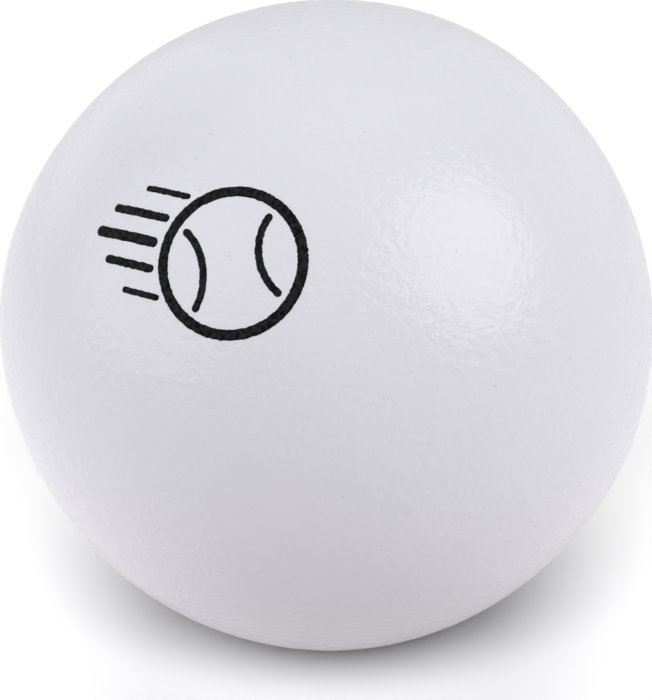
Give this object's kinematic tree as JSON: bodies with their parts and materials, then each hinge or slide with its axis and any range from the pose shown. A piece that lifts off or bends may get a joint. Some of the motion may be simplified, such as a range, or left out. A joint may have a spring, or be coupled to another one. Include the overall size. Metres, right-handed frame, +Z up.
{
  "type": "handball",
  "caption": "Soft mini handball with a solid foam core in a seamless, finely grained pale skin, for throwing and catching; it settles on a small flat patch.",
  "frame": {"origin": "middle of the flat patch on which the ball settles, on the floor", "axes": "+Z up from the floor through the ball's centre; X and Y are equal, because the solids are round about Z, and -Y is the side that faces the picture's camera"},
  "size_m": [0.15, 0.15, 0.1489],
  "materials": {
    "foam": "matte",
    "skin": "satin"
  },
  "bodies": {
    "root": {"foam_core": "foam", "skin": "skin"}
  },
  "joints": []
}
